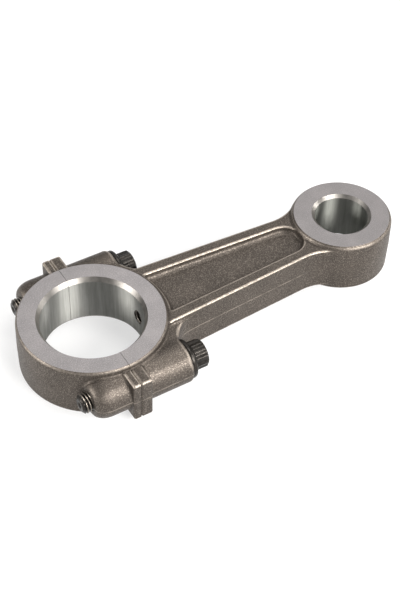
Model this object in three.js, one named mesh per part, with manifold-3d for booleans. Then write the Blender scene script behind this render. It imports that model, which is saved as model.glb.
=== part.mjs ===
// Two-piece connecting rod for a small reciprocating compressor, in millimetres.
//
// The rod lies flat. X runs along it from the crank-pin bore to the piston-pin bore, and Z is along
// both bores. Shapes are drawn about the crank-pin bore's centre at half the rod's thickness. The
// whole rod is then moved so that its origin is the middle of the surface it lies on.

import * as THREE from 'three';
import { mergeVertices } from 'three/addons/utils/BufferGeometryUtils.js';
import Module from 'manifold-3d';

const wasm = await Module();
wasm.setup();

// ---- Driving dimensions ----

const CENTRE_DISTANCE = 115.8;
const WIDTH = 22.4;                 // between the machined side faces of both ends
const HALF_WIDTH = WIDTH / 2;

const CRANK_BORE_R = 20;
const CRANK_FACE_R = 28.4;          // outer edge of the machined side face
const CRANK_RIM_R = 28.9;           // cast wall where the rim's rounding ends
const CRANK_WALL_R = 29.2;          // cast wall on the parting plane
const CRANK_CHAMFER = 1.3;
const CRANK_CHAMFER_DEPTH = 1.8;

const PIN_BORE_R = 11;
const PIN_FACE_R = 19.9;
const PIN_RIM_R = 20.75;
const PIN_WALL_R = 20.95;
const PIN_CHAMFER = 1.3;
const PIN_CHAMFER_DEPTH = 1.2;

const RIM_DROP = 0.8;               // height of the rounded rim beside each machined face
const RIM_STEPS = 3;

const SPLIT_X = 0.4;                // joint plane, just on the rod's side of the bore's centre
const SPLIT_GAP = 0.04;             // play between the rod's and the cap's joint faces

const SHANK_HALF_THICKNESS = 9.45;
const SHANK_EDGE = 0.7;             // rounding along the shank's edges
const SHANK_EDGE_STEPS = 2;
const SHANK_START_X = 24;
const SHANK_START_HALF = 16.3;
const SHANK_END_X = 92;
const SHANK_END_HALF = 12.2;
const PIN_FLARE_R = 20;             // concave flare from the shank to the piston-pin end
const FLARE_TOLERANCE = 1e-6;

const POCKET_DEPTH = 2.85;
const POCKET_WALL = 1.4;            // width of the pocket's curved wall
const POCKET_WALL_STEPS = 4;
const POCKET_START_X = 24;
const POCKET_START_HALF = 9.8;      // of the pocket's floor
const POCKET_END_X = 88;
const POCKET_END_HALF = 6.3;
const POCKET_RING_R = 30.6;         // the pocket stops at the crank end's wall

const SCREW_Y = 27.9;               // each side of the crank-pin bore
const SCREW_R = 4;
const SCREW_TIP_X = -20.3;
const SCREW_TIP_CHAMFER = 0.9;
const SEAT_X = 24;                  // flat under the screw's flange
const SEAT_GAP = 0.03;
const FLANGE_R = 7.9;
const FLANGE_EDGE = 1.9;
const FLANGE_CONE = 1.1;
const HEAD_ACROSS_FLATS = 10;
const HEAD_END_X = 32.5;
const HEAD_CHAMFER = 0.6;
const ROD_HOLE_R = 4.08;            // running clearance on the screw's shank
const CAP_HOLE_R = 4.06;            // stands for the tapped hole, over the thread's crests

const BOSS_R = 8.6;
const WEB_HALF_THICKNESS = 7.6;     // solid web that joins each boss to the crank end
const SEAT_FILLET_R = 13;           // concave sweep from the screw seats to the shank
const SEAT_FILLET_ROOT = 2;         // how far the sweep reaches into the boss and the flank
const SPOT_FACE_R = 9.2;            // room cut round each screw's flange
const CAP_BOSS_STRAIGHT = 10;
const CAP_BOSS_END = 16.4;
const CAP_BOSS_TIP_R = 5.1;
const CAP_BOSS_STEPS = 6;

const FIN_INNER_Y = 22;
const FIN_OUTER_Y = 37.6;
const FIN_HALF_HEIGHT = 9.2;
const FIN_CORNER_R = 0.5;
const FIN_CORNER_SEGMENTS = 4;
const ROD_FIN_THICKNESS = 4.95;
const CAP_FIN_THICKNESS = 3.1;

const OIL_GALLERY_R = 2.5;          // from bore to bore through the shank's web
const OIL_MOUTH_R = 3;
const OIL_MOUTH_DEPTH = 4;
const OIL_MOUTH_CONE = 1;
const OIL_SEGMENTS = 24;

const DRUM_SEGMENTS = 80;
const ROUND_SEGMENTS = 40;
const CURVE_SEGMENTS = 14;
const PAST = 5;                     // how far a cutter runs past what it cuts

// ---- Solids and booleans ----

function solidFrom(geometry) {
  const bare = geometry.clone();
  bare.deleteAttribute('normal');
  bare.deleteAttribute('uv');
  const merged = mergeVertices(bare, 1e-5);
  const mesh = new wasm.Mesh({
    numProp: 3,
    vertProperties: new Float32Array(merged.attributes.position.array),
    triVerts: new Uint32Array(merged.index.array),
  });
  return new wasm.Manifold(mesh);
}

function geometryFrom(solid) {
  const mesh = solid.getMesh();
  const geometry = new THREE.BufferGeometry();
  geometry.setAttribute('position', new THREE.BufferAttribute(mesh.vertProperties, 3));
  geometry.setIndex(new THREE.BufferAttribute(mesh.triVerts, 1));
  geometry.computeVertexNormals();
  return geometry;
}

function join(solids) {
  return solids.reduce((whole, next) => whole.add(next));
}

// A solid turned about the Z axis through (x, 0). The profile is [radius, z] pairs, upwards.
function turnedAboutZ(profile, x, segments = DRUM_SEGMENTS) {
  const points = profile.map(([radius, z]) => new THREE.Vector2(radius, z));
  const geometry = new THREE.LatheGeometry(points, segments);
  geometry.rotateX(Math.PI / 2);
  geometry.translate(x, 0, 0);
  return solidFrom(geometry);
}

// A solid turned about the line y, z = 0. The profile is [radius, x] pairs, towards +X.
function turnedAboutX(profile, y, segments = ROUND_SEGMENTS) {
  const points = profile.map(([radius, x]) => new THREE.Vector2(radius, x));
  const geometry = new THREE.LatheGeometry(points, segments);
  geometry.rotateZ(-Math.PI / 2);
  geometry.translate(0, y, 0);
  return solidFrom(geometry);
}

function rodAlongX(radius, fromX, toX, y) {
  return turnedAboutX([[0, fromX], [radius, fromX], [radius, toX], [0, toX]], y);
}

function block(fromX, toX, fromY, toY, halfHeight) {
  const geometry = new THREE.BoxGeometry(toX - fromX, toY - fromY, 2 * halfHeight);
  geometry.translate((fromX + toX) / 2, (fromY + toY) / 2, 0);
  return solidFrom(geometry);
}

function mirrorAcrossY(solid) {
  return solid.mirror([0, 1, 0]);
}

// ---- Features of both ends ----

// The round body of one end. Its cast wall tapers both ways from the parting plane, and a rounded
// rim leads over to each machined side face.
function drum(x, faceRadius, rimRadius, wallRadius) {
  const upperRim = [];
  for (let step = 0; step <= RIM_STEPS; step += 1) {
    const angle = (step / RIM_STEPS) * Math.PI / 2;
    upperRim.push([
      faceRadius + (rimRadius - faceRadius) * Math.cos(angle),
      HALF_WIDTH - RIM_DROP + RIM_DROP * Math.sin(angle),
    ]);
  }
  const lowerRim = upperRim.map(([radius, z]) => [radius, -z]).reverse();
  const profile = [
    [0, -HALF_WIDTH],
    ...lowerRim,
    [wallRadius, 0],
    ...upperRim,
    [0, HALF_WIDTH],
  ];
  return turnedAboutZ(profile, x);
}

// The space of a bore that is chamfered at both mouths.
function boreSpace(x, radius, chamfer, depth) {
  const slope = chamfer / depth;
  const profile = [
    [0, -HALF_WIDTH - depth],
    [radius + 2 * depth * slope, -HALF_WIDTH - depth],
    [radius, -HALF_WIDTH + depth],
    [radius, HALF_WIDTH - depth],
    [radius + 2 * depth * slope, HALF_WIDTH + depth],
    [0, HALF_WIDTH + depth],
  ];
  return turnedAboutZ(profile, x);
}

function crankBore() {
  return boreSpace(0, CRANK_BORE_R, CRANK_CHAMFER, CRANK_CHAMFER_DEPTH);
}

// Everything on one side of the joint plane: side is +1 for the rod, -1 for the cap.
function keepSide(solid, side) {
  const near = SPLIT_X + side * SPLIT_GAP / 2;
  const far = side * 2 * CENTRE_DISTANCE;
  const reach = 2 * FIN_OUTER_Y;
  return solid.intersect(block(Math.min(near, far), Math.max(near, far), -reach, reach, WIDTH));
}

// A flat lug beside the joint plane, proud of the round boss behind it.
function fin(fromX, toX) {
  const tall = FIN_HALF_HEIGHT - FIN_CORNER_R;
  const out = FIN_OUTER_Y - FIN_CORNER_R;
  const outline = new THREE.Shape();
  outline.moveTo(FIN_INNER_Y, -FIN_HALF_HEIGHT);
  outline.lineTo(out, -FIN_HALF_HEIGHT);
  outline.absarc(out, -tall, FIN_CORNER_R, -Math.PI / 2, 0, false);
  outline.lineTo(FIN_OUTER_Y, tall);
  outline.absarc(out, tall, FIN_CORNER_R, 0, Math.PI / 2, false);
  outline.lineTo(FIN_INNER_Y, FIN_HALF_HEIGHT);
  outline.closePath();
  const options = {
    depth: toX - fromX,
    bevelEnabled: false,
    curveSegments: FIN_CORNER_SEGMENTS,
  };
  const geometry = new THREE.ExtrudeGeometry(outline, options);
  // The outline's X becomes the rod's Y, its Y becomes Z, and its depth runs along X.
  geometry.applyMatrix4(new THREE.Matrix4().makeBasis(
    new THREE.Vector3(0, 1, 0),
    new THREE.Vector3(0, 0, 1),
    new THREE.Vector3(1, 0, 0),
  ));
  geometry.translate(fromX, 0, 0);
  return solidFrom(geometry);
}

// ---- Rod body ----

function shankHalfWidth(x) {
  const along = (x - SHANK_START_X) / (SHANK_END_X - SHANK_START_X);
  return SHANK_START_HALF + along * (SHANK_END_HALF - SHANK_START_HALF);
}

// Centre of the arc that is tangent to the shank's edge and to the piston-pin end's wall. It is
// found by halving the span that holds it.
function flareCentre() {
  const slope = (SHANK_END_HALF - SHANK_START_HALF) / (SHANK_END_X - SHANK_START_X);
  const lift = PIN_FLARE_R * Math.sqrt(1 + slope * slope);
  const reach = PIN_RIM_R + PIN_FLARE_R;
  let low = SHANK_END_X - 2 * PIN_FLARE_R;
  let high = CENTRE_DISTANCE;
  while (high - low > FLARE_TOLERANCE) {
    const x = (low + high) / 2;
    const gap = Math.hypot(CENTRE_DISTANCE - x, shankHalfWidth(x) + lift);
    if (gap > reach) low = x;
    else high = x;
  }
  return { x: low, y: shankHalfWidth(low) + lift, slope };
}

function shank() {
  const flare = flareCentre();
  const onLine = Math.atan(flare.slope) - Math.PI / 2;
  const onDrum = Math.atan2(-flare.y, CENTRE_DISTANCE - flare.x);
  const inset = SHANK_EDGE;
  const startX = CRANK_BORE_R / 2;
  const outline = new THREE.Shape();
  outline.moveTo(startX, 0);
  outline.lineTo(startX, inset - shankHalfWidth(startX));
  outline.absarc(flare.x, -flare.y, PIN_FLARE_R + inset, -onLine, -onDrum, true);
  outline.lineTo(CENTRE_DISTANCE, -PIN_BORE_R);
  outline.lineTo(CENTRE_DISTANCE, PIN_BORE_R);
  outline.absarc(flare.x, flare.y, PIN_FLARE_R + inset, onDrum, onLine, true);
  outline.lineTo(startX, shankHalfWidth(startX) - inset);
  outline.closePath();
  const options = {
    depth: 2 * (SHANK_HALF_THICKNESS - SHANK_EDGE),
    bevelThickness: SHANK_EDGE,
    bevelSize: SHANK_EDGE,
    bevelSegments: SHANK_EDGE_STEPS,
    curveSegments: CURVE_SEGMENTS,
  };
  const geometry = new THREE.ExtrudeGeometry(outline, options);
  geometry.translate(0, 0, -SHANK_HALF_THICKNESS + SHANK_EDGE);
  return solidFrom(geometry);
}

// One long pocket, sunk from the upper side. Its wall curves out from the floor.
function pocket() {
  const outline = new THREE.Shape();
  outline.moveTo(POCKET_START_X, -POCKET_START_HALF);
  outline.lineTo(POCKET_END_X, -POCKET_END_HALF);
  outline.absarc(POCKET_END_X, 0, POCKET_END_HALF, -Math.PI / 2, Math.PI / 2, false);
  outline.lineTo(POCKET_START_X, POCKET_START_HALF);
  outline.closePath();
  const options = {
    depth: PAST,
    bevelThickness: POCKET_DEPTH,
    bevelSize: POCKET_WALL,
    bevelSegments: POCKET_WALL_STEPS,
    curveSegments: CURVE_SEGMENTS,
  };
  const geometry = new THREE.ExtrudeGeometry(outline, options);
  geometry.translate(0, 0, SHANK_HALF_THICKNESS);
  const room = turnedAboutZ(
    [[0, -WIDTH], [POCKET_RING_R, -WIDTH], [POCKET_RING_R, WIDTH], [0, WIDTH]], 0);
  return solidFrom(geometry).subtract(room);
}

// The concave corner between one screw seat and the shank's flank.
function seatFillet() {
  const flank = shankHalfWidth(SEAT_X + SEAT_FILLET_R) - SHANK_EDGE;
  const insideX = SEAT_X - SEAT_FILLET_ROOT;
  const insideY = flank - SEAT_FILLET_ROOT;
  const outline = new THREE.Shape();
  outline.moveTo(insideX, insideY);
  outline.lineTo(SEAT_X + SEAT_FILLET_R, insideY);
  outline.lineTo(SEAT_X + SEAT_FILLET_R, flank);
  outline.absarc(SEAT_X + SEAT_FILLET_R, flank + SEAT_FILLET_R, SEAT_FILLET_R,
    -Math.PI / 2, -Math.PI, true);
  outline.lineTo(insideX, flank + SEAT_FILLET_R);
  outline.closePath();
  const options = {
    depth: 2 * WEB_HALF_THICKNESS,
    bevelEnabled: false,
    curveSegments: CURVE_SEGMENTS,
  };
  const geometry = new THREE.ExtrudeGeometry(outline, options);
  geometry.translate(0, 0, -WEB_HALF_THICKNESS);
  return solidFrom(geometry);
}

function oilGallery() {
  const mouthEnd = CRANK_BORE_R + OIL_MOUTH_DEPTH;
  const profile = [
    [0, 0],
    [OIL_MOUTH_R, 0],
    [OIL_MOUTH_R, mouthEnd],
    [OIL_GALLERY_R, mouthEnd + OIL_MOUTH_CONE],
    [OIL_GALLERY_R, CENTRE_DISTANCE],
    [0, CENTRE_DISTANCE],
  ];
  return turnedAboutX(profile, 0, OIL_SEGMENTS);
}

function rodBody() {
  const ear = join([
    rodAlongX(BOSS_R, 0, SEAT_X, SCREW_Y),
    block(0, SEAT_X, 0, SCREW_Y, WEB_HALF_THICKNESS),
    fin(0, SPLIT_X + ROD_FIN_THICKNESS),
    seatFillet(),
  ]);
  const pocketAbove = pocket();
  const pocketBelow = pocketAbove.mirror([0, 0, 1]);
  const beam = shank().subtract(pocketAbove).subtract(pocketBelow);
  const casting = join([
    beam,
    drum(0, CRANK_FACE_R, CRANK_RIM_R, CRANK_WALL_R),
    drum(CENTRE_DISTANCE, PIN_FACE_R, PIN_RIM_R, PIN_WALL_R),
    ear,
    mirrorAcrossY(ear),
  ]);
  const screwSpace = rodAlongX(ROD_HOLE_R, -PAST, SEAT_X + PAST, SCREW_Y)
    .add(rodAlongX(SPOT_FACE_R, SEAT_X, SEAT_X + SEAT_FILLET_R + PAST, SCREW_Y));
  const machining = join([
    crankBore(),
    boreSpace(CENTRE_DISTANCE, PIN_BORE_R, PIN_CHAMFER, PIN_CHAMFER_DEPTH),
    screwSpace,
    mirrorAcrossY(screwSpace),
    oilGallery(),
  ]);
  return keepSide(casting, 1).subtract(machining);
}

// ---- Bearing cap ----

// Round boss that the screw is tapped into. Its free end is domed.
function capBoss() {
  const profile = [[0, -CAP_BOSS_END]];
  for (let step = 0; step <= CAP_BOSS_STEPS; step += 1) {
    const angle = (step / CAP_BOSS_STEPS) * Math.PI / 2;
    profile.push([
      CAP_BOSS_TIP_R + (BOSS_R - CAP_BOSS_TIP_R) * Math.sin(angle),
      -CAP_BOSS_STRAIGHT - (CAP_BOSS_END - CAP_BOSS_STRAIGHT) * Math.cos(angle),
    ]);
  }
  profile.push([BOSS_R, 2 * SPLIT_X]);
  profile.push([0, 2 * SPLIT_X]);
  return turnedAboutX(profile, SCREW_Y);
}

function bearingCap() {
  const ear = capBoss().add(fin(SPLIT_X - CAP_FIN_THICKNESS, 2 * SPLIT_X));
  const casting = join([
    drum(0, CRANK_FACE_R, CRANK_RIM_R, CRANK_WALL_R),
    ear,
    mirrorAcrossY(ear),
  ]);
  const screwHole = rodAlongX(CAP_HOLE_R, -CAP_BOSS_END - PAST, PAST, SCREW_Y);
  const machining = join([crankBore(), screwHole, mirrorAcrossY(screwHole)]);
  return keepSide(casting, -1).subtract(machining);
}

// ---- Cap screws ----

// Twelve-point head: two hexagons on one axis, a twelfth of a turn apart, with a turned end.
function screwHead(y) {
  const start = SEAT_X + SEAT_GAP + FLANGE_EDGE;
  const cornerR = HEAD_ACROSS_FLATS / 2 / Math.cos(Math.PI / 6);
  const hexagon = new THREE.CylinderGeometry(cornerR, cornerR, HEAD_END_X - start, 6);
  hexagon.rotateZ(-Math.PI / 2);
  hexagon.translate((HEAD_END_X + start) / 2, 0, 0);
  const turned = hexagon.clone().rotateX(Math.PI / 6);
  const points = solidFrom(hexagon).add(solidFrom(turned));
  const envelope = turnedAboutX([
    [0, start],
    [cornerR, start],
    [cornerR, HEAD_END_X - HEAD_CHAMFER],
    [cornerR - HEAD_CHAMFER, HEAD_END_X],
    [0, HEAD_END_X],
  ], 0);
  return points.intersect(envelope).translate([0, y, 0]);
}

function capScrew(y) {
  const seat = SEAT_X + SEAT_GAP;
  const profile = [
    [0, SCREW_TIP_X],
    [SCREW_R - SCREW_TIP_CHAMFER, SCREW_TIP_X],
    [SCREW_R, SCREW_TIP_X + SCREW_TIP_CHAMFER],
    [SCREW_R, seat],
    [FLANGE_R, seat],
    [FLANGE_R, seat + FLANGE_EDGE],
    [HEAD_ACROSS_FLATS / 2, seat + FLANGE_EDGE + FLANGE_CONE],
    [0, seat + FLANGE_EDGE + FLANGE_CONE],
  ];
  return turnedAboutX(profile, y).add(screwHead(y));
}

// ---- Assembly ----

function castMaterial() {
  return new THREE.MeshStandardMaterial({ color: 0x7a7068, roughness: 0.62, metalness: 0.85 });
}

function screwMaterial() {
  return new THREE.MeshStandardMaterial({ color: 0x1c1b1a, roughness: 0.42, metalness: 0.7 });
}

const connectingRod = new THREE.Group();

function addPiece(name, solid, material) {
  const mesh = new THREE.Mesh(geometryFrom(solid), material);
  mesh.name = name;
  connectingRod.add(mesh);
}

addPiece('rod_body', rodBody(), castMaterial());
addPiece('bearing_cap', bearingCap(), castMaterial());
addPiece('cap_screw_left', capScrew(SCREW_Y), screwMaterial());
addPiece('cap_screw_right', capScrew(-SCREW_Y), screwMaterial());

const middleX = (CENTRE_DISTANCE + PIN_WALL_R - CRANK_WALL_R) / 2;
connectingRod.position.set(-middleX, 0, HALF_WIDTH);

export default connectingRod;
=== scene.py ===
import math

import bmesh
import bpy
import numpy as np
from mathutils import Matrix, Vector


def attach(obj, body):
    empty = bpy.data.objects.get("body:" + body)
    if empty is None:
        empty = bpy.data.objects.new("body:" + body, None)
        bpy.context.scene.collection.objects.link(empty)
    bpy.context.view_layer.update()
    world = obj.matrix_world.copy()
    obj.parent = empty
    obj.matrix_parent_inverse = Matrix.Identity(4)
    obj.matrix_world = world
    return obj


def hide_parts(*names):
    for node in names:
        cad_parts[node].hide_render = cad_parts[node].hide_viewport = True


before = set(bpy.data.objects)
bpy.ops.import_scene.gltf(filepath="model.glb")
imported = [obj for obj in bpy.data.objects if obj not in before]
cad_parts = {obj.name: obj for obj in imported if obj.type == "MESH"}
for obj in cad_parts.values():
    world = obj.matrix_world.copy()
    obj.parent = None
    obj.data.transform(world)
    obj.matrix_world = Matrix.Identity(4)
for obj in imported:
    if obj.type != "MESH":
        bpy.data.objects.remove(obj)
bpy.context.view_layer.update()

# Shapes are worked out in millimetres about the crank-pin bore's centre at half the rod's
# thickness, and are moved to the frame's metres at the end.
MIDDLE_X = 53.775
HALF_WIDTH = 11.2
MM = 0.001

PIN_X = 115.8
CRANK_BORE_R, PIN_BORE_R = 20.0, 11.0
CRANK_WALL_R, PIN_WALL_R = 29.2, 20.93
CHAMFER_WIDTH, CRANK_CHAMFER, PIN_CHAMFER = 1.3, 1.8, 1.2
WALL_DRAFT = 0.018                      # per millimetre from the parting plane
BLANK_HALF = 11.55                      # half the height before the faces are machined
CRANK_BEVEL, PIN_BEVEL = 0.75, 1.05     # sloped rims on the upper side
CRANK_UNDER_R, PIN_UNDER_R = 1.7, 0.8   # rounded rims on the lower side
SPLIT_X, SPLIT_GAP = 0.4, 0.15

SHANK_HALF, SHANK_EDGE_R, SHANK_UNDER_R = 9.45, 0.75, 0.35
SHANK_DRAFT = 0.02
SHANK_START_X, SHANK_END_X = 24, 92     # where its half widths are given
SHANK_START_HALF, SHANK_END_HALF = 16.3, 12.2
FLARE_R = 20.0                          # concave flare from the shank to the piston-pin end
FLARE_INSET = 0.15                      # how far inside the end's wall the flare meets it
POCKET_START_X, POCKET_END_X = 24, 88
POCKET_START_HALF, POCKET_END_HALF = 11.2, 7.7
POCKET_DRAFT, POCKET_RING_DRAFT = 0.14, 0.2
POCKET_FLOOR_Z = 6.6
POCKET_RING_R = 30.4                    # the pocket stops at the crank end's wall

SCREW_Y = 27.9
SEAT_X = 24.0
BOSS_R = 8.6
WEB_HALF = 7.7
BOSS_END_X, BOSS_END_R = SEAT_X + 0.3, 1.5
SWEEP_R, SWEEP_Y = 13.0, 15.1           # concave sweep from the screw seats to the shank
SPOT_FACE_R = 9.2                       # room cut round each screw's flange
CAP_BOSS_START, CAP_BOSS_DOME, CAP_BOSS_TIP_R = -10.0, 6.4, 5.1
FIN_INNER, FIN_OUTER, FIN_HALF = 21, 37.6, 9.2
FIN_UPPER_R, FIN_LOWER_R = 0.8, 0.35
FIN_OVERCUT = 0.08                      # cut away again where the joint faces are made
ROD_FIN, CAP_FIN = 4.95, 3.1
ROD_HOLE_R, CAP_HOLE_R = 4.08, 4.06
OIL_R, OIL_GALLERY_R = 3.0, 2.5
OIL_START, OIL_MOUTH_DEPTH, OIL_PITCH = 8.0, 4.6, 1.2

PITCH = 1.25                            # M8 coarse thread
CREST_R, ROOT_R = 3.98, 3.3
SCREW_TIP, THREAD_END, SCREW_END = -20.3, 3.0, 32.5
SCREW_SHANK_R = 3.97


# ---------------------------------------------------------------- distance fields

def smooth_min(a, b, k):
    h = np.clip(0.5 + 0.5 * (b - a) / k, 0, 1)
    return b + (a - b) * h - k * h * (1 - h)


def smooth_max(a, b, k):
    return -smooth_min(-a, -b, k)


def rounded(a, b, r):
    """Where both a and b are inside, with a round edge of radius r between them."""
    a, b = a + r, b + r
    return np.minimum(np.maximum(a, b), 0) + np.hypot(np.maximum(a, 0), np.maximum(b, 0)) - r


def drum(x, y, z, centre, wall, bevel, under):
    side = np.hypot(x - centre, y) - (wall - WALL_DRAFT * np.abs(z))
    slope = (side + z - HALF_WIDTH + bevel) / math.sqrt(2)
    upper = np.maximum(smooth_max(side, slope, 0.7), z - BLANK_HALF)
    return np.where(z > 0, upper, rounded(side, -z - BLANK_HALF, under))


def shank_half_width(x):
    share = (x - SHANK_START_X) / (SHANK_END_X - SHANK_START_X)
    return SHANK_START_HALF + share * (SHANK_END_HALF - SHANK_START_HALF)


def flare_centre():
    """Centre of the arc that touches the shank's side and the piston-pin end, and that side's
    slope."""
    slope = (SHANK_END_HALF - SHANK_START_HALF) / (SHANK_END_X - SHANK_START_X)
    reach = PIN_WALL_R - FLARE_INSET + FLARE_R
    lift = FLARE_R * math.hypot(1, slope)
    low, high = 64.0, PIN_X
    for _ in range(60):
        x = (low + high) / 2
        if math.hypot(PIN_X - x, shank_half_width(x) + lift) > reach:
            low = x
        else:
            high = x
    return low, shank_half_width(low) + lift, slope


FLARE_X, FLARE_Y, SLOPE = flare_centre()
LINE_END = FLARE_X + FLARE_R * SLOPE / math.hypot(1, SLOPE)
TOUCH_Y = FLARE_Y * (PIN_WALL_R - FLARE_INSET) / math.hypot(FLARE_X - PIN_X, FLARE_Y)


def shank(x, y, z):
    away = np.abs(y)
    line = (away - shank_half_width(x)) / math.hypot(1, SLOPE)
    arc = np.maximum(FLARE_R - np.hypot(x - FLARE_X, away - FLARE_Y), away - TOUCH_Y)
    plan = np.where(x < LINE_END, line, arc)
    # Both ends are buried: one in the piston-pin end, the other in the crank-pin end.
    plan = np.maximum(plan, np.maximum(x - (PIN_X - 6), 12 - x))
    flank = plan + SHANK_DRAFT * (np.abs(z) - SHANK_HALF)
    edge_r = np.where(z > 0, SHANK_EDGE_R, SHANK_UNDER_R)
    body = rounded(flank, np.abs(z) - SHANK_HALF, edge_r)

    share = (x - POCKET_START_X) / (POCKET_END_X - POCKET_START_X)
    side = away - (POCKET_START_HALF + share * (POCKET_END_HALF - POCKET_START_HALF))
    end = np.hypot(np.maximum(x - POCKET_END_X, 0), away) - POCKET_END_HALF
    outline = np.where(x < POCKET_END_X, side, end)
    depth = SHANK_HALF - np.abs(z)
    wall = outline + POCKET_DRAFT * depth
    ring = POCKET_RING_R + POCKET_RING_DRAFT * depth - np.hypot(x, y)
    hollow = smooth_max(smooth_max(wall, ring, 1.6), POCKET_FLOOR_Z - np.abs(z), 2.0)
    return smooth_max(body, -hollow, 0.7)


def fin(x, y, z, start, end, start_r, end_r):
    corner_r = np.where(z > 0, FIN_UPPER_R, FIN_LOWER_R)
    plan = rounded(np.abs(y) - FIN_OUTER, np.abs(z) - FIN_HALF, corner_r)
    plan = np.maximum(plan, FIN_INNER - np.abs(y))
    return np.maximum(rounded(plan, start - x, start_r), rounded(plan, x - end, end_r))


def rod_casting(x, y, z):
    away = np.abs(y)
    around = np.hypot(away - SCREW_Y, z)
    boss = rounded(around - BOSS_R, x - BOSS_END_X, BOSS_END_R)
    web = rounded(np.abs(z) - WEB_HALF, x - BOSS_END_X, BOSS_END_R)
    web = np.maximum(web, away - SCREW_Y)
    centre_x, centre_y = SEAT_X + SWEEP_R, SWEEP_Y + SWEEP_R
    corner = np.maximum(x - centre_x, away - centre_y)
    corner = np.maximum(corner, SWEEP_R - np.hypot(x - centre_x, away - centre_y))
    corner = np.maximum(corner, np.maximum(14 - x, SWEEP_Y - 2 - away))
    corner = rounded(corner, np.abs(z) - WEB_HALF, 1.2)
    ear = smooth_min(smooth_min(boss, web, 0.9), corner, 0.6)
    pin_end = drum(x, y, z, PIN_X, PIN_WALL_R, PIN_BEVEL, PIN_UNDER_R)
    crank_end = drum(x, y, z, 0, CRANK_WALL_R, CRANK_BEVEL, CRANK_UNDER_R)
    joint_fin = fin(x, y, z, SPLIT_X + SPLIT_GAP / 2 - FIN_OVERCUT, SPLIT_X + ROD_FIN, 0.9, 1.0)
    body = smooth_min(shank(x, y, z), pin_end, 0.9)
    body = smooth_min(body, crank_end, 1.0)
    body = smooth_min(body, ear, 1.4)
    body = smooth_min(body, joint_fin, 0.5)
    return np.maximum(body, -4.0 - x)


def cap_casting(x, y, z):
    away = np.abs(y)
    around = np.hypot(away - SCREW_Y, z)
    round_off = BOSS_R - CAP_BOSS_TIP_R
    ahead = np.maximum(CAP_BOSS_START - x, 0) / CAP_BOSS_DOME
    beside = np.maximum(around - CAP_BOSS_TIP_R, 0) / round_off
    boss = (np.hypot(ahead, beside) - 1) * round_off
    crank_end = drum(x, y, z, 0, CRANK_WALL_R, CRANK_BEVEL, CRANK_UNDER_R)
    joint_fin = fin(x, y, z, SPLIT_X - CAP_FIN, SPLIT_X - SPLIT_GAP / 2 + FIN_OVERCUT, 0.85, 0.3)
    body = smooth_min(crank_end, boss, 1.1)
    body = smooth_min(body, joint_fin, 0.5)
    return np.maximum(body, x - 4.0)


def gradient(field, p, step=0.03):
    g = np.empty_like(p)
    for axis in range(3):
        d = np.zeros(3)
        d[axis] = step
        ahead, behind = p + d, p - d
        g[:, axis] = (field(*ahead.T) - field(*behind.T)) / (2 * step)
    return g


def surface_net(field, low, high, step):
    """A closed mesh of quads on the field's zero surface: (points, quads)."""
    axes = [np.arange(a, b + step, step) for a, b in zip(low, high)]
    shape = tuple(len(a) for a in axes)
    values = np.empty(shape, np.float32)
    ys, zs = np.meshgrid(axes[1], axes[2], indexing="ij")
    for i in range(0, shape[0], 16):
        xs = axes[0][i:i + 16]
        values[i:i + 16] = field(xs[:, None, None], ys[None], zs[None])
    inside = values < 0
    cells = tuple(n - 1 for n in shape)
    total = np.zeros((cells[0] * cells[1] * cells[2], 3))
    count = np.zeros(len(total))
    origin = np.array([a[0] for a in axes])
    crossings = []
    for axis in range(3):
        first = [slice(None)] * 3
        second = [slice(None)] * 3
        first[axis], second[axis] = slice(0, -1), slice(1, None)
        crossed = np.argwhere(inside[tuple(first)] != inside[tuple(second)])
        other = crossed.copy()
        other[:, axis] += 1
        a, b = values[tuple(crossed.T)], values[tuple(other.T)]
        p = crossed * step + origin
        p[:, axis] += step * a / (a - b)
        u, v = (axis + 1) % 3, (axis + 2) % 3
        corners = []
        for du, dv in ((0, 0), (-1, 0), (-1, -1), (0, -1)):
            cell = crossed.copy()
            cell[:, u] += du
            cell[:, v] += dv
            flat = np.ravel_multi_index(cell.T, cells)
            for k in range(3):
                total[:, k] += np.bincount(flat, weights=p[:, k], minlength=len(total))
            count += np.bincount(flat, minlength=len(total))
            corners.append(flat)
        quads = np.stack(corners, 1)
        leaving = a < 0
        quads[~leaving] = quads[~leaving][:, ::-1]
        crossings.append(quads)
    used = np.flatnonzero(count)
    number = np.full(len(total), -1)
    number[used] = np.arange(len(used))
    points = total[used] / count[used][:, None]
    quads = number[np.concatenate(crossings)]
    for _ in range(4):
        g = gradient(field, points)
        d = field(*points.T)
        move = g * (d / np.maximum((g * g).sum(1), 0.05))[:, None]
        size = np.linalg.norm(move, axis=1)[:, None]
        points = points - move * np.minimum(1, 0.5 * step / np.maximum(size, 1e-9))
    return points, quads


# ---------------------------------------------------------------- meshes and cuts

def new_mesh(name, points, faces):
    mesh = bpy.data.meshes.new(name)
    mesh.from_pydata([tuple(p) for p in points], [], [tuple(int(i) for i in f) for f in faces])
    mesh.update()
    return mesh


def new_object(name, mesh):
    obj = bpy.data.objects.new(name, mesh)
    bpy.context.scene.collection.objects.link(obj)
    return obj


def turned(profile, segments, place):
    """A closed turned solid. The profile is (radius, along) pairs, from axis to axis."""
    points, faces, rings = [], [], []
    for radius, along in profile:
        if radius < 1e-9:
            rings.append([len(points)])
            points.append(place(0, 0, along))
            continue
        rings.append(list(range(len(points), len(points) + segments)))
        for k in range(segments):
            t = 2 * math.pi * k / segments
            points.append(place(radius * math.cos(t), radius * math.sin(t), along))
    for lower, upper in zip(rings, rings[1:]):
        for k in range(segments):
            n = (k + 1) % segments
            if len(lower) == 1:
                faces.append((lower[0], upper[n], upper[k]))
            elif len(upper) == 1:
                faces.append((lower[k], lower[n], upper[0]))
            else:
                faces.append((lower[k], lower[n], upper[n], upper[k]))
    return points, faces


def about_z(centre):
    return lambda a, b, along: (centre + a, b, along)


def about_x(y):
    return lambda a, b, along: (along, y + a, b)


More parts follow.
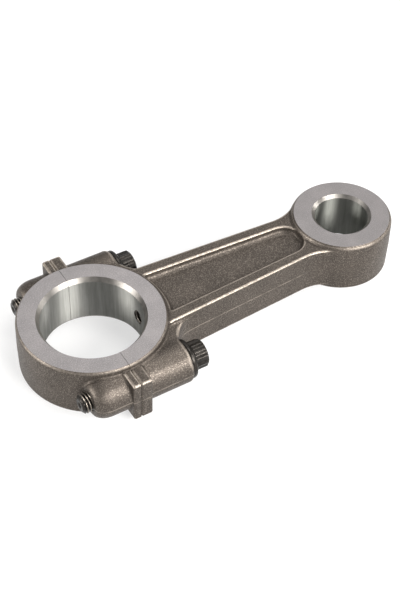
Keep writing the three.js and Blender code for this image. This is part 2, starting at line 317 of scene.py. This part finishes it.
def box_solid(low, high):
    xs, ys, zs = zip(low, high)
    points = [(x, y, z) for x in xs for y in ys for z in zs]
    faces = [(0, 1, 3, 2), (4, 6, 7, 5), (0, 4, 5, 1), (2, 3, 7, 6), (0, 2, 6, 4), (1, 5, 7, 3)]
    return points, faces


def bore_cutter(centre, radius, chamfer, depth, segments):
    slope = chamfer / depth
    profile = [
        (0, -HALF_WIDTH - 1),
        (radius + chamfer + slope, -HALF_WIDTH - 1),
        (radius, -HALF_WIDTH + depth),
        (radius, HALF_WIDTH - depth),
        (radius + chamfer + slope, HALF_WIDTH + 1),
        (0, HALF_WIDTH + 1),
    ]
    return turned(profile, segments, about_z(centre))


def hole_cutter(radius, start, end, y, segments=64):
    return turned([(0, start), (radius, start), (radius, end), (0, end)], segments, about_x(y))


def oil_cutter():
    """The drilled gallery, with a coarse tapped mouth at the crank-pin bore."""
    profile = [(0, OIL_START)]
    along = OIL_START
    while along < CRANK_BORE_R + OIL_MOUTH_DEPTH:
        profile.append((OIL_R + 0.12, along))
        profile.append((OIL_R + 0.12, along + 0.3))
        profile.append((OIL_R - 0.4, along + 0.65))
        profile.append((OIL_R - 0.4, along + 0.85))
        along += OIL_PITCH
    profile += [(OIL_R - 0.3, along), (OIL_GALLERY_R, along + 1)]
    profile += [(OIL_GALLERY_R, PIN_X), (0, PIN_X)]
    return turned(profile, 48, about_x(0))


def cut(mesh, cutter, operation):
    """The mesh after one boolean with a cutter."""
    target = new_object("cut_target", mesh)
    shape = new_mesh("cutter", *cutter)
    tool = bmesh.new()
    tool.from_mesh(shape)
    bmesh.ops.recalc_face_normals(tool, faces=tool.faces)
    tool.to_mesh(shape)
    tool.free()
    knife = new_object("cut_knife", shape)
    step = target.modifiers.new("cut", "BOOLEAN")
    step.object = knife
    step.operation = operation
    step.solver = "MANIFOLD"
    graph = bpy.context.evaluated_depsgraph_get()
    result = bpy.data.meshes.new_from_object(target.evaluated_get(graph))
    bpy.data.objects.remove(target)
    bpy.data.objects.remove(knife)
    return result


def closed_part(field, low, high, step, keep, cutters):
    mesh = new_mesh("blank", *surface_net(field, low, high, step))
    mesh = cut(mesh, keep, "INTERSECT")
    for cutter in cutters:
        mesh = cut(mesh, cutter, "DIFFERENCE")
    return mesh


# ---------------------------------------------------------------- which surface is which

CAST, FACE, BORE, PIN, CHAMFER, JOINT, SEAT, HOLE, OIL = range(9)


def classify(mesh):
    """The kind of surface of each face, by where it lies."""
    n = len(mesh.polygons)
    centre = np.empty(n * 3)
    normal = np.empty(n * 3)
    mesh.polygons.foreach_get("center", centre)
    mesh.polygons.foreach_get("normal", normal)
    x, y, z = centre.reshape(-1, 3).T
    nx, nz = normal.reshape(-1, 3).T[[0, 2]]
    kind = np.full(n, CAST)
    radius = np.hypot(x, y)
    pin_radius = np.hypot(x - PIN_X, y)
    around = np.hypot(np.abs(y) - SCREW_Y, z)
    kind[np.abs(np.abs(x - SPLIT_X) - SPLIT_GAP / 2) < 0.004] = JOINT
    kind[(np.abs(x - SEAT_X) < 0.004) & (nx > 0.9)] = SEAT
    kind[np.abs(radius - CRANK_BORE_R) < 0.01] = BORE
    kind[np.abs(pin_radius - PIN_BORE_R) < 0.01] = PIN
    for away, bore, depth in (
        (radius, CRANK_BORE_R, CRANK_CHAMFER),
        (pin_radius, PIN_BORE_R, PIN_CHAMFER),
    ):
        above = np.abs(z) - (HALF_WIDTH - depth)
        expected = bore + CHAMFER_WIDTH * above / depth
        kind[(above > 0.003) & (np.abs(away - expected) < 0.01)] = CHAMFER
    kind[(around < 4.3) & (np.abs(nx) < 0.2) & (np.abs(x) < 25)] = HOLE
    between_bores = (radius > CRANK_BORE_R + 0.02) & (pin_radius > PIN_BORE_R + 0.02)
    between_bores &= (x > 0) & (x < PIN_X)
    kind[(np.hypot(y, z) < OIL_R + 0.3) & between_bores] = OIL
    kind[(np.abs(z) > HALF_WIDTH - 0.002) & (np.abs(nz) > 0.5)] = FACE
    return kind


def analytic_normals(mesh, kind, field):
    """A normal for each face corner, from the true surface instead of the facets."""
    points = np.empty(len(mesh.vertices) * 3)
    mesh.vertices.foreach_get("co", points)
    points = points.reshape(-1, 3)
    loops = len(mesh.loops)
    vertex = np.empty(loops, int)
    mesh.loops.foreach_get("vertex_index", vertex)
    sizes = np.empty(len(mesh.polygons), int)
    mesh.polygons.foreach_get("loop_total", sizes)
    flat = np.empty(len(mesh.polygons) * 3)
    mesh.polygons.foreach_get("normal", flat)
    face = np.repeat(np.arange(len(sizes)), sizes)
    result = flat.reshape(-1, 3)[face].copy()
    loop_kind = kind[face]
    g = gradient(field, points, 0.05)
    g /= np.maximum(np.linalg.norm(g, axis=1), 1e-6)[:, None]
    cast = (loop_kind == CAST) & ((g[vertex] * result).sum(1) > 0.6)
    result[cast] = g[vertex][cast]
    for which, centre in ((BORE, 0.0), (PIN, PIN_X)):
        here = loop_kind == which
        p = points[vertex[here]]
        out = np.stack([centre - p[:, 0], -p[:, 1], np.zeros(len(p))], 1)
        result[here] = out / np.linalg.norm(out, axis=1)[:, None]
    here = loop_kind == CHAMFER
    p = points[vertex[here]]
    at_pin = p[:, 0] > PIN_X / 2
    centre = np.where(at_pin, PIN_X, 0.0)
    depth = np.where(at_pin, PIN_CHAMFER, CRANK_CHAMFER)
    tilt = np.sign(p[:, 2]) * CHAMFER_WIDTH / np.hypot(CHAMFER_WIDTH, depth)
    out = np.stack([centre - p[:, 0], -p[:, 1], np.zeros(len(p))], 1)
    out /= np.linalg.norm(out, axis=1)[:, None]
    out *= np.sqrt(np.maximum(1 - tilt ** 2, 0))[:, None]
    out[:, 2] = tilt
    result[here] = out
    for which, axis in ((FACE, 2), (JOINT, 0), (SEAT, 0)):
        here = loop_kind == which
        flat_normal = np.zeros((here.sum(), 3))
        flat_normal[:, axis] = np.sign(result[here][:, axis])
        result[here] = flat_normal
    here = loop_kind == HOLE
    p = points[vertex[here]]
    out = np.stack([np.zeros(len(p)), np.sign(p[:, 1]) * SCREW_Y - p[:, 1], -p[:, 2]], 1)
    result[here] = out / np.maximum(np.linalg.norm(out, axis=1), 1e-9)[:, None]
    return result, points


def curvature(field, points, reach=0.45):
    """Above zero where the surface bulges, below zero where it is hollow."""
    total = -6 * field(*points.T)
    for axis in range(3):
        d = np.zeros(3)
        d[axis] = reach
        total += field(*(points + d).T) + field(*(points - d).T)
    return total / reach ** 2


def to_row(mesh):
    """From the working millimetres to the frame's metres."""
    shift = Matrix.Translation((-MIDDLE_X, 0, HALF_WIDTH))
    mesh.transform(Matrix.Diagonal((MM, MM, MM, 1)) @ shift)


def finish_casting(name, mesh, field, body, node, finishes):
    kind = classify(mesh)
    normals, points = analytic_normals(mesh, kind, field)
    bend = curvature(field, points)
    # Bulging edges get a painted highlight, partly rubbed wear, only where they lean up or down;
    # edges that run straight up and down aren't brightened.
    lean = np.abs(gradient(field, points, 0.2)[:, 2])
    bend = np.where(bend > 0, bend * np.clip((lean - 0.12) / 0.3, 0, 1), bend)
    attribute = mesh.attributes.new("bend", "FLOAT", "POINT")
    attribute.data.foreach_set("value", bend.astype(np.float32))
    to_row(mesh)
    mesh.materials.clear()
    for finish in finishes:
        mesh.materials.append(finish)
    mesh.polygons.foreach_set("material_index", kind.astype(np.int32))
    mesh.polygons.foreach_set("use_smooth", np.ones(len(kind), bool))
    mesh.update()
    mesh.normals_split_custom_set([tuple(n) for n in normals])
    mesh.name = name
    obj = new_object(name, mesh)
    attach(obj, body)
    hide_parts(node)
    return obj


# ---------------------------------------------------------------- cap screws

def star_radius(theta, across=5.05, corner=5.74):
    """Twelve points with slightly blunted corners."""
    best = np.zeros_like(theta)
    for turn in (0, math.pi / 6):
        t = (theta + turn) % (math.pi / 3) - math.pi / 6
        best = np.maximum(best, across / np.cos(t))
    return np.minimum(best, corner)


def screw_mesh(name, start_angle):
    around = 120
    theta = np.arange(around) * 2 * math.pi / around
    tip, run_out, seat, end = SCREW_TIP, THREAD_END, SEAT_X + 0.03, SCREW_END
    rings = []          # (x, radius at each angle)

    def plain(x, r):
        rings.append((x, np.full(around, float(r))))

    plain(tip + 0.75, 0.35)
    plain(tip + 0.55, 0.8)
    plain(tip + 0.12, 1.25)
    plain(tip + 0.0, 1.5)
    plain(tip, 2.55)
    x = tip + 0.04
    step = PITCH / 12
    while x < run_out:
        u = ((x - tip) / PITCH - (theta + start_angle) / (2 * math.pi)) % 1
        height = np.clip((0.5 - np.abs(u - 0.5)) * 2 * 1.22 - 0.06, 0, 1)
        height = height * height * (3 - 2 * height) * 0.35 + height * 0.65
        r = ROOT_R + (CREST_R - ROOT_R) * height
        fade = min(max((x - (run_out - 1.6)) / 1.6, 0), 1)
        r = r * (1 - fade) + SCREW_SHANK_R * fade
        r = np.minimum(r, 2.62 + (x - tip) * 1.25)
        rings.append((x, r))
        x += step
    plain(run_out, SCREW_SHANK_R)
    plain(seat - 1.2, SCREW_SHANK_R)
    plain(seat - 0.25, 4.0)
    plain(seat, 4.0)
    plain(seat, 7.45)
    plain(seat + 0.12, 7.75)
    plain(seat + 0.45, 7.9)
    plain(seat + 1.5, 7.9)
    plain(seat + 1.85, 7.7)
    plain(seat + 2.35, 6.9)
    plain(seat + 2.75, 6.15)
    star = star_radius(theta)
    rings.append((seat + 2.87, star + 0.22))
    rings.append((seat + 3.05, star))
    rings.append((end - 0.75, star))
    rings.append((end - 0.45, np.minimum(star, 5.36)))
    rings.append((end - 0.12, np.minimum(star, 5.02)))
    rings.append((end, np.minimum(star, 4.72)))
    plain(end, 3.5)
    plain(end - 0.18, 3.1)
    plain(end - 0.5, 2.4)
    plain(end - 0.55, 0.9)

    points, faces = [], []
    crest_wear_and_highlight = []
    for along, r in rings:
        for k in range(around):
            points.append((along, r[k] * math.cos(theta[k]), r[k] * math.sin(theta[k])))
            # Thread crests are marked for a lighter tone: partly rubbed wear, partly a painted
            # highlight.
            crest = 0.0
            if along < run_out:
                crest = max(0.0, (r[k] - 3.75) / 0.23)
            crest_wear_and_highlight.append(crest)
    for i in range(len(rings) - 1):
        for k in range(around):
            n = (k + 1) % around
            a = i * around
            faces.append((a + k, a + around + k, a + around + n, a + n))
    first, last = len(points), len(points) + 1
    points.append((tip + 0.8, 0, 0))
    points.append((end - 0.55, 0, 0))
    crest_wear_and_highlight += [0, 0]
    base = (len(rings) - 1) * around
    for k in range(around):
        n = (k + 1) % around
        faces.append((first, k, n))
        faces.append((last, base + n, base + k))
    mesh = new_mesh(name, points, faces)
    attribute = mesh.attributes.new("crest_wear_and_highlight", "FLOAT", "POINT")
    attribute.data.foreach_set("value", np.array(crest_wear_and_highlight, np.float32))
    shape = bmesh.new()
    shape.from_mesh(mesh)
    bmesh.ops.recalc_face_normals(shape, faces=shape.faces)
    for edge in shape.edges:
        if len(edge.link_faces) == 2 and edge.calc_face_angle(0) > math.radians(34):
            edge.smooth = False
    for f in shape.faces:
        f.smooth = True
    shape.to_mesh(mesh)
    shape.free()
    return mesh


# ---------------------------------------------------------------- materials

class Nodes:
    """Short names for building one material's node tree."""

    def __init__(self, name):
        self.material = bpy.data.materials.new(name)
        self.material.use_nodes = True
        self.tree = self.material.node_tree
        self.tree.nodes.clear()
        self.shader = self.tree.nodes.new("ShaderNodeBsdfPrincipled")
        out = self.tree.nodes.new("ShaderNodeOutputMaterial")
        self.link(self.shader.outputs["BSDF"], out.inputs["Surface"])
        self.place = self.tree.nodes.new("ShaderNodeTexCoord").outputs["Object"]

    def link(self, a, b):
        self.tree.links.new(a, b)

    def feed(self, socket, value):
        if hasattr(value, "is_linked"):
            self.link(value, socket)
        else:
            socket.default_value = value

    def scaled(self, factor):
        node = self.tree.nodes.new("ShaderNodeMapping")
        node.inputs["Scale"].default_value = factor
        self.link(self.place, node.inputs["Vector"])
        return node.outputs["Vector"]

    def noise(self, size_mm, detail=3.0, rough=0.55, vector=None, distortion=0.0):
        node = self.tree.nodes.new("ShaderNodeTexNoise")
        node.inputs["Scale"].default_value = 1000.0 / size_mm
        node.inputs["Detail"].default_value = detail
        node.inputs["Roughness"].default_value = rough
        node.inputs["Distortion"].default_value = distortion
        self.link(vector if vector is not None else self.place, node.inputs["Vector"])
        return node.outputs["Fac"]

    def grains(self, size_mm):
        node = self.tree.nodes.new("ShaderNodeTexVoronoi")
        node.inputs["Scale"].default_value = 1000.0 / size_mm
        self.link(self.place, node.inputs["Vector"])
        return node.outputs["Distance"]

    def math(self, operation, a, b=0.0, c=0.0):
        node = self.tree.nodes.new("ShaderNodeMath")
        node.operation = operation
        for socket, value in zip(node.inputs, (a, b, c)):
            self.feed(socket, value)
        return node.outputs[0]

    def span(self, value, low, high, to_low=0.0, to_high=1.0):
        node = self.tree.nodes.new("ShaderNodeMapRange")
        for socket, v in zip(node.inputs, (value, low, high, to_low, to_high)):
            self.feed(socket, v)
        return node.outputs[0]

    def mix(self, share, a, b):
        node = self.tree.nodes.new("ShaderNodeMix")
        node.data_type = "RGBA"
        self.feed(node.inputs[0], share)
        self.feed(node.inputs[6], a)
        self.feed(node.inputs[7], b)
        return node.outputs[2]

    def attribute(self, name):
        node = self.tree.nodes.new("ShaderNodeAttribute")
        node.attribute_name = name
        return node.outputs["Fac"]

    def parts(self):
        node = self.tree.nodes.new("ShaderNodeSeparateXYZ")
        self.link(self.place, node.inputs[0])
        return node.outputs

    def bump(self, height, strength, distance_mm, below=None):
        node = self.tree.nodes.new("ShaderNodeBump")
        node.inputs["Strength"].default_value = strength
        node.inputs["Distance"].default_value = distance_mm * MM
        self.link(height, node.inputs["Height"])
        if below is not None:
            self.link(below, node.inputs["Normal"])
        return node.outputs["Normal"]

    def done(self, color, roughness, metallic, normal=None):
        self.feed(self.shader.inputs["Base Color"], color)
        self.feed(self.shader.inputs["Roughness"], roughness)
        self.feed(self.shader.inputs["Metallic"], metallic)
        if normal is not None:
            self.link(normal, self.shader.inputs["Normal"])
        return self.material


def tone(red, green, blue):
    """A colour given as display values from 0 to 255."""
    def linear(v):
        v /= 255
        return v / 12.92 if v <= 0.04045 else ((v + 0.055) / 1.055) ** 2.4
    return (linear(red), linear(green), linear(blue), 1.0)


def cast_finish():
    """Grit-blasted casting: fine sparkling grain, cloudy tone, edges lightened as a painted
    highlight (partly rubbed wear) where they lean up or down, hollows darkened as painted shade,
    and a faint parting line at half thickness."""
    n = Nodes("cast_surface")
    cloud = n.noise(14, 3, 0.6)
    blotch = n.noise(3.5, 3, 0.6)
    grain = n.noise(0.42, 2, 0.7)
    pits = n.grains(0.8)
    color = n.mix(n.span(cloud, 0.35, 0.65), tone(76, 70, 65), tone(90, 83, 77))
    color = n.mix(n.span(blotch, 0.35, 0.7, 0.0, 0.45), color, tone(74, 68, 62))
    color = n.mix(n.span(grain, 0.5, 0.72, 0.0, 0.5), color, tone(164, 154, 143))
    color = n.mix(n.span(grain, 0.5, 0.3, 0.0, 0.42), color, tone(62, 56, 51))
    bend = n.attribute("bend")
    # Bright edges: a painted highlight on bulging edges that lean up or down, partly rubbed wear,
    # broken up by noise.
    wear_and_highlight_patches = n.span(n.noise(1.1, 3, 0.65), 0.3, 0.6, 0.35, 1.0)
    edge = n.math("MULTIPLY", n.span(bend, 0.2, 0.9, 0.0, 0.8), wear_and_highlight_patches)
    color = n.mix(edge, color, tone(186, 175, 163))
    # Painted shade: hollows and creases darkened by how deeply they curve inwards.
    color = n.mix(n.span(bend, -0.25, -1.2, 0.0, 0.55), color, tone(58, 53, 48))
    up = n.math("ABSOLUTE", n.math("SUBTRACT", n.parts()[2], HALF_WIDTH * MM))
    seam = n.span(up, 0.1 * MM, 0.3 * MM, 1.0, 0.0)
    seam = n.math("MULTIPLY", seam, n.span(n.noise(7, 2, 0.5), 0.36, 0.54))
    seam = n.math("MULTIPLY", seam, n.span(ring_distance(n, 0.0), 33.5, 35.5))
    seam = n.math("MULTIPLY", seam, n.span(ring_distance(n, PIN_X), 24.0, 27.0))
    color = n.mix(n.math("MULTIPLY", seam, 0.45), color, tone(186, 174, 160))
    rough = n.span(grain, 0.3, 0.7, 0.6, 0.4)
    rough = n.math("SUBTRACT", rough, n.math("MULTIPLY", edge, 0.12))
    normal = n.bump(n.noise(1.6, 3, 0.6), 0.35, 0.12)
    normal = n.bump(grain, 0.6, 0.1, normal)
    normal = n.bump(n.span(pits, 0.0, 0.25), 0.25, 0.05, normal)
    normal = n.bump(seam, 0.5, 0.08, normal)
    return n.done(color, rough, 0.86, normal)


def ring_distance(n, centre_x):
    """Distance from a bore's axis, in millimetres, for turned marks."""
    x, y, _ = n.parts()
    dx = n.math("SUBTRACT", x, (centre_x - MIDDLE_X) * MM)
    return n.math("MULTIPLY", n.math("SQRT", n.math("ADD", n.math("MULTIPLY", dx, dx),
                                                   n.math("MULTIPLY", y, y))), 1000.0)


def machined_finish():
    """Turned side faces: satin, with faint concentric marks round whichever bore is nearer."""
    n = Nodes("machined_face")
    x = n.parts()[0]
    at_pin = n.math("GREATER_THAN", x, 0.02)
    near = ring_distance(n, 0.0)
    far = ring_distance(n, PIN_X)
    radius = n.math("ADD", n.math("MULTIPLY", near, n.math("SUBTRACT", 1.0, at_pin)),
                    n.math("MULTIPLY", far, at_pin))
    rings = n.math("SINE", n.math("MULTIPLY", radius, 21.0))
    wobble = n.noise(2.2, 3, 0.6)
    rings = n.math("MULTIPLY", rings, n.span(wobble, 0.35, 0.7))
    cloud = n.noise(9, 3, 0.55)
    fine = n.noise(0.4, 2, 0.6)
    smear = n.noise(3.2, 4, 0.65, distortion=0.8)
    color = n.mix(n.span(cloud, 0.35, 0.65), tone(140, 136, 136), tone(157, 152, 152))
    color = n.mix(n.span(smear, 0.4, 0.62, 0.0, 0.5), color, tone(146, 142, 142))
    color = n.mix(n.span(rings, 0.2, 1.0, 0.0, 0.16), color, tone(144, 140, 140))
    color = n.mix(n.span(fine, 0.52, 0.72, 0.0, 0.45), color, tone(206, 202, 200))
    color = n.mix(n.span(fine, 0.46, 0.3, 0.0, 0.4), color, tone(120, 116, 115))
    color = n.mix(n.math("MULTIPLY", at_pin, 0.3), color, tone(122, 118, 117))
    rough = n.span(cloud, 0.3, 0.7, 0.36, 0.46)
    normal = n.bump(rings, 0.12, 0.02)
    normal = n.bump(fine, 0.15, 0.02, normal)
    return n.done(color, rough, 0.9, normal)


def turned_marks(n, amount):
    """Fine marks run round a bore, so highlights spread along its axis."""
    along = n.tree.nodes.new("ShaderNodeCombineXYZ")
    along.inputs[2].default_value = 1.0
    n.link(along.outputs[0], n.shader.inputs["Tangent"])
    n.shader.inputs["Anisotropic"].default_value = amount


def bore_finish(name, centre_x, light, dark, low, high):
    """Honed bore: fine crossed scratches, and streaks along the axis."""
    n = Nodes(name)
    x, y, z = n.parts()
    dx = n.math("SUBTRACT", x, (centre_x - MIDDLE_X) * MM)
    angle = n.math("ARCTAN2", y, dx)
    up = n.math("MULTIPLY", z, 1000.0)
    first = n.math("ADD", n.math("MULTIPLY", angle, 260.0), n.math("MULTIPLY", up, 9.0))
    second = n.math("SUBTRACT", n.math("MULTIPLY", angle, 240.0), n.math("MULTIPLY", up, 8.0))
    crossed = n.math("ADD", n.math("SINE", first), n.math("SINE", second))
    scratch = n.math("MULTIPLY", crossed, n.span(n.noise(1.4, 3), 0.4, 0.7))
    streak = n.noise(1.6, 4, 0.65, n.scaled((1.0, 1.0, 0.06)))
    color = n.mix(n.span(streak, 0.3, 0.7), light, dark)
    color = n.mix(n.span(scratch, 0.4, 1.6, 0.0, 0.2), color, dark)
    rough = n.span(streak, 0.3, 0.7, low, high)
    turned_marks(n, 0.95)
    return n.done(color, rough, 0.96, n.bump(scratch, 0.05, 0.01))


def chamfer_finish():
    """Turned chamfer at each bore mouth: satin, with marks round the bore."""
    n = Nodes("turned_chamfer")
    cloud = n.noise(2.5, 3, 0.6)
    color = n.mix(n.span(cloud, 0.35, 0.65), tone(134, 131, 127), tone(150, 146, 141))
    turned_marks(n, 0.5)
    return n.done(color, n.span(cloud, 0.3, 0.7, 0.38, 0.44), 0.95)


def milled_finish(name, low, high):
    """Milled flat, with soft sweep marks."""
    n = Nodes(name)
    sweep = n.noise(1.1, 3, 0.6, n.scaled((1.0, 0.12, 1.0)))
    color = n.mix(n.span(sweep, 0.35, 0.65), low, high)
    return n.done(color, n.span(sweep, 0.3, 0.7, 0.34, 0.5), 0.9, n.bump(sweep, 0.2, 0.03))


def hole_finish():
    """Tapped and drilled walls: helical marks along the hole."""
    n = Nodes("drilled_hole")
    x, y, z = n.parts()
    side = n.math("SIGN", y)
    dy = n.math("SUBTRACT", y, n.math("MULTIPLY", side, SCREW_Y * MM))
    dz = n.math("SUBTRACT", z, HALF_WIDTH * MM)
    angle = n.math("ARCTAN2", dz, dy)
    turns = n.math("SUBTRACT", n.math("MULTIPLY", x, 2 * math.pi * 1000.0 / PITCH), angle)
    ridge = n.math("SINE", turns)
    soft = n.noise(0.8, 3)
    color = n.mix(n.span(ridge, -1.0, 1.0), tone(84, 80, 76), tone(166, 160, 154))
    return n.done(color, n.span(soft, 0.3, 0.7, 0.35, 0.5), 0.9, n.bump(ridge, 0.6, 0.25))


def oil_finish():
    """Drilled oil gallery: dull, with a fine grain, coloured darker than the machined faces as
    painted shade inside the hole.
    """
    n = Nodes("oil_hole")
    soft = n.noise(0.6, 3)
    # Dark tones: painted shade inside the drilled hole.
    color = n.mix(n.span(soft, 0.35, 0.65), tone(96, 91, 86), tone(138, 132, 125))
    return n.done(color, n.span(soft, 0.3, 0.7, 0.35, 0.55), 0.85, n.bump(soft, 0.4, 0.05))


def black_finish():
    """Black oxide on steel: oily sheen, fine grain, and thread crests lightened towards bare
    metal, partly rubbed wear and partly a painted highlight.
    """
    n = Nodes("black_oxide")
    cloud = n.noise(2.4, 3, 0.6)
    grain = n.noise(0.35, 2, 0.7)
    crest_wear_and_highlight = n.attribute("crest_wear_and_highlight")
    color = n.mix(n.span(cloud, 0.35, 0.65), tone(36, 34, 32), tone(50, 47, 44))
    color = n.mix(n.span(grain, 0.52, 0.7, 0.0, 0.5), color, tone(82, 78, 73))
    crest_rub_and_highlight = n.math("MULTIPLY", crest_wear_and_highlight, n.span(cloud, 0.3, 0.6, 0.35, 0.9))
    # Thread crests lightened: partly rubbed wear, partly a painted highlight.
    color = n.mix(crest_rub_and_highlight, color, tone(160, 151, 140))
    rough = n.span(cloud, 0.3, 0.7, 0.26, 0.4)
    return n.done(color, rough, 0.85, n.bump(grain, 0.3, 0.03))


finishes = [
    cast_finish(),
    machined_finish(),
    bore_finish("crank_pin_bore", 0.0, tone(156, 156, 152), tone(132, 132, 128), 0.5, 0.58),
    bore_finish("piston_pin_bore", PIN_X, tone(134, 135, 130), tone(112, 113, 108), 0.5, 0.58),
    chamfer_finish(),
    milled_finish("joint_face", tone(178, 174, 170), tone(198, 193, 188)),
    milled_finish("screw_seat", tone(168, 163, 158), tone(190, 185, 179)),
    hole_finish(),
    oil_finish(),
]
black = black_finish()

# ---------------------------------------------------------------- the four pieces

STEP = 0.4
crank_cutter = bore_cutter(0, CRANK_BORE_R, CHAMFER_WIDTH, CRANK_CHAMFER, 240)
pin_cutter = bore_cutter(PIN_X, PIN_BORE_R, CHAMFER_WIDTH, PIN_CHAMFER, 180)

rod_cutters = [crank_cutter, pin_cutter, oil_cutter()]
cap_cutters = [crank_cutter]
for side in (1, -1):
    rod_cutters.append(hole_cutter(ROD_HOLE_R, -3, SEAT_X + 3, side * SCREW_Y))
    rod_cutters.append(hole_cutter(SPOT_FACE_R, SEAT_X, SEAT_X + 18, side * SCREW_Y, 96))
    cap_cutters.append(hole_cutter(CAP_HOLE_R, -20, 3, side * SCREW_Y))

rod_keep = box_solid((SPLIT_X + SPLIT_GAP / 2, -60, -HALF_WIDTH), (160, 60, HALF_WIDTH))
cap_keep = box_solid((-60, -60, -HALF_WIDTH), (SPLIT_X - SPLIT_GAP / 2, 60, HALF_WIDTH))

rod_mesh = closed_part(rod_casting, (-5.5, -39, -13), (138, 39, 13), STEP, rod_keep, rod_cutters)
cap_mesh = closed_part(cap_casting, (-31, -39, -13), (5.5, 39, 13), STEP, cap_keep, cap_cutters)
finish_casting("rod_casting", rod_mesh, rod_casting, "rod", "rod_body", finishes)
finish_casting("cap_casting", cap_mesh, cap_casting, "cap", "bearing_cap", finishes)

for side, name, turn in ((1, "left", 0.6), (-1, "right", 2.3)):
    mesh = screw_mesh(f"{name}_cap_screw", turn)
    mesh.transform(Matrix.Translation((0, side * SCREW_Y, 0)))
    to_row(mesh)
    mesh.materials.append(black)
    screw = new_object(f"{name}_cap_screw", mesh)
    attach(screw, f"screw_{name}")
    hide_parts(f"cap_screw_{name}")

# ---------------------------------------------------------------- camera

TURN, TILT, ROLL = -0.566, 0.802, 0.031     # radians
DISTANCE = 523.356
SENSOR_MM = 36
FOCAL_LENGTH_MM = 1323.161 * SENSOR_MM / 600
back = Vector((math.sin(TURN) * math.cos(TILT), -math.cos(TURN) * math.cos(TILT), math.sin(TILT)))
right = (-back).cross(Vector((0, 0, 1))).normalized()
up = right.cross(-back)
tilted_right = math.cos(ROLL) * right + math.sin(ROLL) * up
tilted_up = -math.sin(ROLL) * right + math.cos(ROLL) * up
target = Vector((45.712 - MIDDLE_X, -4.016, HALF_WIDTH)) * MM
position = target + back * DISTANCE * MM
camera = bpy.data.objects.new("camera", bpy.data.cameras.new("camera"))
camera.data.sensor_width = SENSOR_MM
camera.data.lens = FOCAL_LENGTH_MM
camera.data.clip_start = 0.01
camera.data.clip_end = 20
camera.matrix_world = Matrix((
    (tilted_right.x, tilted_up.x, back.x, position.x),
    (tilted_right.y, tilted_up.y, back.y, position.y),
    (tilted_right.z, tilted_up.z, back.z, position.z),
    (0, 0, 0, 1),
))
bpy.context.scene.collection.objects.link(camera)
bpy.context.scene.camera = camera

# ---------------------------------------------------------------- floor and light

floor_mesh = new_mesh("floor", [(-6, -6, 0), (6, -6, 0), (6, 6, 0), (-6, 6, 0)], [(0, 1, 2, 3)])
pale = Nodes("pale_floor")
pale.feed(pale.shader.inputs["Emission Color"], (1.0, 1.0, 1.0, 1.0))
pale.shader.inputs["Emission Strength"].default_value = 0.62
clouds = pale.span(pale.noise(90, 2), 0.3, 0.7)
floor_color = pale.mix(clouds, (0.36, 0.36, 0.36, 1), (0.39, 0.39, 0.39, 1))
floor_mesh.materials.append(pale.done(floor_color, 0.9, 0.0))
floor = new_object("floor", floor_mesh)
floor.location.z = -0.0004

world = bpy.data.worlds.new("studio")
world.use_nodes = True
world.node_tree.nodes["Background"].inputs["Color"].default_value = (1.0, 1.0, 1.0, 1.0)
world.node_tree.nodes["Background"].inputs["Strength"].default_value = 0.24
bpy.context.scene.world = world


def soft_box(name, place, aim, width, height, power, tint=(1.0, 1.0, 1.0)):
    data = bpy.data.lights.new(name, "AREA")
    data.shape = "RECTANGLE"
    data.size, data.size_y = width, height
    data.energy = power
    data.color = tint
    lamp = bpy.data.objects.new(name, data)
    lamp.location = place
    toward = Vector(aim) - Vector(place)
    lamp.rotation_euler = toward.to_track_quat("-Z", "Y").to_euler()
    bpy.context.scene.collection.objects.link(lamp)


WARM = (1.0, 0.985, 0.965)
soft_box("key", (0.24, -0.85, 0.57), (0, 0, 0.01), 0.66, 0.42, 17.5, WARM)
soft_box("overhead", (0.35, 0.05, 1.05), (0, 0, 0.01), 0.5, 0.4, 4.6, WARM)
soft_box("far_left", (-1.07, 0.2, 0.4), (0, 0, 0.01), 0.6, 0.3, 10.0, WARM)
soft_box("right", (1.12, -0.25, 0.45), (0, 0, 0.01), 0.3, 0.4, 5.0, WARM)
soft_box("far", (0.35, 0.85, 0.9), (0, 0, 0.01), 1.2, 0.8, 3.4)

bpy.context.scene.view_settings.view_transform = "Standard"
bpy.context.scene.view_settings.look = "None"
